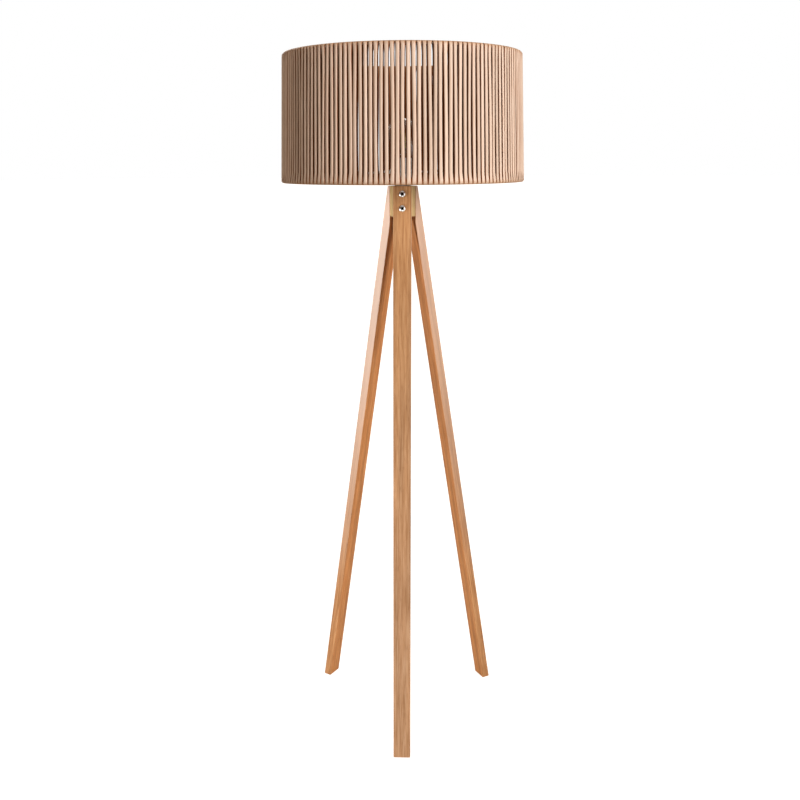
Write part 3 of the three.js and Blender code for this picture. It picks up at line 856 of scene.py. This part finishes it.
def make_lampholder():
    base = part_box("holder_cap")[0].z / MM
    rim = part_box("holder_cap")[1].z / MM
    ribs = 40
    cap = drawn([
        (5.3, base), (16.2, base), (16.8, base + 0.2), (17, base + 0.7),
        (17.4, base + 3), (ribbed(17.6, 0.5, ribs), base + 4),
        (ribbed(19.3, 0.6, ribs), rim - 5), (19.5, rim - 4),
        (19.8, rim - 0.5), (19.6, rim - 0.1), (19.2, rim), (18.2, rim), (17.6, rim - 5),
        (15.2, base + 3.5), (9, base + 3.5), (9, base + 10), (5.3, base + 10),
    ], 160, closed=True)
    made_of("lampholder_cap", cap, "stand", "white_plastic", ["holder_cap"])

    shoulder = rim + 0.3
    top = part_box("holder_shell")[1].z / MM
    bore = 16.8
    shell = [
        (15.6, shoulder - 5), (17.4, shoulder - 5), (17.4, shoulder), (22.4, shoulder),
        (22.9, shoulder + 0.3), (23, shoulder + 0.8), (23, shoulder + 2.3),
        (22.8, shoulder + 2.8), (22.3, shoulder + 3), (18.9, shoulder + 3),
    ]
    shell += threaded(18.9, 0.38, 2.5, shoulder + 5, top - 2, steps=8)
    shell += [
        (18.7, top - 0.8), (18.2, top - 0.1), (17.6, top), (bore + 0.3, top),
        (bore, top - 0.3), (bore, shoulder + 5), (15.6, shoulder + 4),
    ]
    made_of("lampholder_shell", drawn(shell, 72, closed=True), "stand", "white_plastic",
            ["holder_shell"])

    low, high = (corner.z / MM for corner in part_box("holder_screw_shell"))
    middle = 13.7
    wall = 0.45
    outside, inside = (
        threaded(radius, SOCKET_THREAD, SOCKET_PITCH, low + 1.5, high - 0.5, steps=10)
        for radius in (middle, middle - wall)
    )
    bottom = [(6.4, low), (middle - 0.4, low), (middle, low + 0.4)]
    floor = [(middle - wall, low + 0.8), (middle - 0.9, low + wall), (6.4, low + wall)]
    shell = drawn(bottom + outside + inside[::-1] + floor, 72, closed=True)
    made_of("socket_shell", shell, "stand", "brass", ["holder_screw_shell"])


# ---------------------------------------------------------------- bulb

GLOBE_RADIUS = 30.0
GLOBE_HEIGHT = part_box("bulb_glass")[1].z / MM - GLOBE_RADIUS
NECK_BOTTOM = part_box("bulb_glass")[0].z / MM
CAP_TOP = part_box("bulb_cap")[1].z / MM


def curve_point(start, pull_start, pull_end, end, share):
    """A point on a cubic curve."""
    first = start.lerp(pull_start, share)
    second = pull_start.lerp(pull_end, share)
    third = pull_end.lerp(end, share)
    return first.lerp(second, share).lerp(second.lerp(third, share), share)


def glass_line(inset):
    """One side of the glass wall, from the neck up to the pole of the globe."""
    neck = 11.4 - inset
    shoulder = 12.2 - inset
    globe = GLOBE_RADIUS - inset
    join = math.radians(-40)
    middle = Vector((0, GLOBE_HEIGHT))
    along = Vector((-math.sin(join), math.cos(join)))
    start = Vector((shoulder, CAP_TOP))
    end = middle + globe * Vector((math.cos(join), math.sin(join)))
    line = [Vector((neck, NECK_BOTTOM)), Vector((neck, CAP_TOP - 2))]
    for step in range(9):
        line.append(curve_point(start, start + Vector((0, 12)), end - 12 * along, end, step / 8))
    for step in range(1, 21):
        angle = lerp(join, math.pi / 2, step / 20)
        line.append(middle + globe * Vector((math.cos(angle), math.sin(angle))))
    line[-1].x = 0
    return line


def make_bulb():
    wall = 0.8
    glass = spun(glass_line(wall)[::-1] + glass_line(0), 72)
    made_of("glass_globe", glass, "bulb", "clear_glass", ["bulb_glass"], 60)

    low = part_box("bulb_cap")[0].z / MM
    top = CAP_TOP
    shell = [(9, low), (11, low), (11.8, low + 0.5), (12.3, low + 1.6)]
    shell += threaded(12.7, SOCKET_THREAD, SOCKET_PITCH, low + 2.2, top - 2, steps=10)
    shell += [(12.7, top - 1), (12.6, top), (12.2, top), (12.1, top - 1)]
    shell += threaded(12.1, SOCKET_THREAD, SOCKET_PITCH, low + 2.2, top - 2, steps=10)[::-1]
    shell += [(11.6, low + 1.6), (11.2, low + 0.8), (9, low + 0.6)]
    made_of("bulb_screw_cap", drawn(shell, 72, closed=True), "bulb", "bulb_cap_metal",
            ["bulb_cap"])

    low, high = (corner.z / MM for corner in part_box("bulb_insulator"))
    insulator = rounded([(0, low, 0), (6, low, 0.6), (11.8, high, 0.4), (0, high, 0)])
    made_of("bulb_black_glass", spun(insulator, 48), "bulb", "black_plastic",
            ["bulb_insulator"])
    low, high = (corner.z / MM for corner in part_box("bulb_contact"))
    tip = rounded([(0, low, 0), (5, low, 1.4), (5, high, 0.2), (0, high, 0)])
    made_of("bulb_centre_contact", spun(tip, 48), "bulb_tip", "brass", ["bulb_contact"])

    low, high = (corner.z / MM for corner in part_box("bulb_stem"))
    stem = rounded([
        (0, low, 0), (9.5, low, 0.5), (6.5, low + 8, 3), (3.4, low + 24, 6),
        (2.2, low + 31, 6), (2.2, high - 1.5, 0.5), (1.2, high, 0.5), (0, high, 0),
    ])
    made_of("glass_stem", spun(stem, 32), "bulb", "clear_glass", ["bulb_stem"], 60)
    make_filaments(low + 28, high - 2)


FILAMENTS = 4
FILAMENT_RADIUS = 1.0
FILAMENT_LENGTH = 38
FILAMENT_FOOT = 8.5
FILAMENT_LEAN = math.radians(5)
LEAD_WIRE = 0.3


def make_filaments(stem_low, stem_high):
    """Four coated rods round the stem, and the wires that hold them at both ends."""
    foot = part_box("bulb_filament_1")[0].z / MM
    rod = [
        (0, 0, 0), (FILAMENT_RADIUS, 0, 0.5), (FILAMENT_RADIUS, FILAMENT_LENGTH, 0.5),
        (0, FILAMENT_LENGTH, 0),
    ]
    wires = []
    for index in range(FILAMENTS):
        bm = spun(rounded(rod), 16)
        turn = Matrix.Rotation(index * TURN / FILAMENTS + TURN / 8, 4, "Z")
        place = turn @ Matrix.Translation((FILAMENT_FOOT * MM, 0, foot * MM))
        place = place @ Matrix.Rotation(-FILAMENT_LEAN, 4, "Y")
        bmesh.ops.transform(bm, matrix=place, verts=bm.verts)
        made_of(f"coated_filament_{index + 1}", bm, "bulb", "filament",
                [f"bulb_filament_{index + 1}"])
        low_end = place @ Vector((0, 0, 0.3 * MM))
        high_end = place @ Vector((0, 0, (FILAMENT_LENGTH - 0.3) * MM))
        low_root = turn @ Vector((1.5 * MM, 0, stem_low * MM))
        high_root = turn @ Vector((1.0 * MM, 0, stem_high * MM))
        wires.append([low_root, low_root.lerp(low_end, 0.6) - Vector((0, 0, MM)), low_end])
        wires.append([high_root, high_root.lerp(high_end, 0.5) + Vector((0, 0, MM)), high_end])
    wire("filament_wires", "bulb", "steel", wires, LEAD_WIRE * MM)


# ---------------------------------------------------------------- shade frame

RING_WIRE = 2.25
RING_SIDES = 14
FRAME_WIRE = 2.0
RING_INSET = 6.5 * MM
RING_RISE = 0.0035
WELD_RADIUS = 0.0033
UPRIGHTS = 6
ARMS = 3


def make_frame():
    rings = {
        "bottom": (SHADE_RADIUS_BOTTOM - RING_INSET, SHADE_BOTTOM + RING_RISE),
        "top": (SHADE_RADIUS_TOP - RING_INSET, SHADE_TOP - RING_RISE),
    }
    for name, (radius, height) in rings.items():
        section = [
            (radius / MM + RING_WIRE * math.cos(side * TURN / RING_SIDES),
             height / MM + RING_WIRE * math.sin(side * TURN / RING_SIDES))
            for side in range(RING_SIDES)
        ]
        made_of(f"{name}_wire_ring", spun(section, 144, closed=True), "shade", "white_wire",
                [f"shade_{name}_ring"])
    welds = []
    low_radius, low = rings["bottom"]
    high_radius, high = rings["top"]
    for index in range(UPRIGHTS):
        turn = Matrix.Rotation(index * TURN / UPRIGHTS, 3, "Z")
        ends = [turn @ Vector((low_radius, 0, low)), turn @ Vector((high_radius, 0, high))]
        wire(f"upright_wire_{index + 1}", "shade", "white_wire", [ends], FRAME_WIRE * MM,
             [f"shade_upright_{index + 1}"])
        welds += ends
    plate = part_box("shade_fitter")[1].z
    seat = plate + FRAME_WIRE * MM
    for index in range(ARMS):
        turn = Matrix.Rotation(index * TURN / ARMS + TURN / 12, 3, "Z")
        path = [
            (0.027, seat), (0.035, seat), (0.047, seat - 0.0006),
            (low_radius - 0.014, low + 0.0006), (low_radius, low),
        ]
        points = [turn @ Vector((reach, 0, height)) for reach, height in path]
        wire(f"arm_wire_{index + 1}", "shade", "white_wire", [points], FRAME_WIRE * MM,
             [f"shade_arm_{index + 1}"])
        welds += [points[-1], turn @ Vector((0.030, 0, plate)), turn @ Vector((0.033, 0, plate))]
    bm = bmesh.new()
    for place in welds:
        squat = Matrix.Translation(place) @ Matrix.Diagonal((1, 1, 0.8, 1))
        bmesh.ops.create_icosphere(bm, subdivisions=2, radius=WELD_RADIUS, matrix=squat)
    made_of("weld_beads", bm, "shade", "white_wire")

    low, high = (corner.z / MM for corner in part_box("shade_fitter"))
    inner, outer = 19.8, 35
    plate = rounded([
        (inner + 3, low, 0), (outer, low, 0.3), (outer, high, 0.3), (inner, high, 0.3),
        (inner, low, 0.3), (inner + 3, low, 0),
    ], 2)[:-1]
    made_of("fitter_plate", spun(plate, 96, closed=True), "shade", "white_wire",
            ["shade_fitter"])


def make_clamp_ring():
    low, high = (corner.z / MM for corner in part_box("shade_ring"))
    bore = 19.7
    ribs = 36
    ring = drawn([
        (bore, low + 0.4), (bore + 0.4, low), (24.6, low), (25.1, low + 0.3),
        (ribbed(25.9, 0.9, ribs), low + 0.9), (ribbed(26, 0.9, ribs), low + 1.5),
        (ribbed(26, 0.9, ribs), high - 2), (ribbed(25.7, 0.8, ribs), high - 1.1),
        (24.9, high - 0.4), (24.3, high), (bore + 0.4, high), (bore, high - 0.4),
    ], 216, closed=True)
    made_of("clamp_ring", ring, "ring", "white_plastic", ["shade_ring"])


# ---------------------------------------------------------------- floor and light

FLOOR_RADIUS = 60
FLOOR_TONE = (0.50, 0.45, 0.40)
FLOOR_GLOW = 0.9
ROOM_TONE = (1.0, 0.85, 0.71)
ROOM_LIGHT = 0.18


def make_floor():
    """A pale floor, which looks nearly white to the camera."""
    bm = bmesh.new()
    bmesh.ops.create_circle(bm, cap_ends=True, segments=96, radius=FLOOR_RADIUS)
    mesh = bpy.data.meshes.new("floor")
    bm.to_mesh(mesh)
    bm.free()
    floor = linked("floor", mesh)
    material, shader = new_material("floor_paint", FLOOR_TONE, 0.9)
    shader.inputs["Specular IOR Level"].default_value = 0.0
    shader.inputs["Emission Color"].default_value = (1, 1, 1, 1)
    path = add(material, "ShaderNodeLightPath")
    glow = scaled(material, path.outputs["Is Camera Ray"], 0.0, FLOOR_GLOW)
    link(material, glow, shader.inputs["Emission Strength"])
    floor.data.materials.append(material)


def add_sun(name, azimuth, height, spread, strength, colour=(1, 1, 1)):
    """A soft far light. Azimuth is measured from the front, towards the right."""
    data = bpy.data.lights.new(name, "SUN")
    data.angle = math.radians(spread)
    data.energy = strength
    data.color = colour
    light = linked(name, data)
    turn = Matrix.Rotation(math.radians(azimuth), 4, "Z")
    light.matrix_world = turn @ Matrix.Rotation(math.radians(90 - height), 4, "X")


def make_world():
    """A white backdrop for the camera, with a softer warm light from all round."""
    world = bpy.data.worlds.new("studio")
    bpy.context.scene.world = world
    world.use_nodes = True
    nodes = world.node_tree.nodes
    links = world.node_tree.links
    background = nodes["Background"]
    background.inputs["Color"].default_value = (*ROOM_TONE, 1)
    background.inputs["Strength"].default_value = ROOM_LIGHT
    backdrop = nodes.new("ShaderNodeBackground")
    backdrop.inputs["Color"].default_value = (1, 1, 1, 1)
    backdrop.inputs["Strength"].default_value = 1.0
    path = nodes.new("ShaderNodeLightPath")
    mix = nodes.new("ShaderNodeMixShader")
    links.new(path.outputs["Is Camera Ray"], mix.inputs["Fac"])
    links.new(background.outputs["Background"], mix.inputs[1])
    links.new(backdrop.outputs["Background"], mix.inputs[2])
    links.new(mix.outputs["Shader"], nodes["World Output"].inputs["Surface"])
    bpy.context.scene.view_settings.view_transform = "Standard"


def add_low_spot(name, azimuth, aim, reach, power, blend):
    """A light near the floor, aimed at a height on the lamp's axis. It lights that far round it."""
    distance = 3.4
    low = 0.25
    data = bpy.data.lights.new(name, "SPOT")
    data.energy = power
    data.shadow_soft_size = 0.06
    data.spot_size = 2 * math.atan2(reach, distance)
    data.spot_blend = blend
    light = linked(name, data)
    turn = Matrix.Rotation(math.radians(azimuth), 4, "Z")
    turn = turn @ Matrix.Translation((0, -distance, low))
    upward = math.atan2(aim - low, distance)
    light.matrix_world = turn @ Matrix.Rotation(math.pi / 2 + upward, 4, "X")
    light.visible_camera = False


def make_light():
    add_sun("key", azimuth=47, height=11, spread=22, strength=2.98)
    add_sun("fill", azimuth=-45, height=15, spread=60, strength=0.22, colour=(1.0, 0.9, 0.8))
    add_sun("back", azimuth=190, height=28, spread=50, strength=1.3, colour=(1.0, 0.93, 0.86))
    add_sun("top", azimuth=0, height=76, spread=50, strength=0.5, colour=(1.0, 0.95, 0.9))
    add_low_spot("tripod_light", azimuth=-58, aim=0.55, reach=0.67, power=390, blend=0.04)
    add_low_spot("hub_light", azimuth=8, aim=1.16, reach=0.07, power=150, blend=0.5)


place_camera()
make_floor()
make_world()
make_light()
finish_cad_nodes()
make_tripod()
make_screws()
make_hub_fittings()
make_lampholder()
make_bulb()
make_frame()
make_clamp_ring()
make_tape()
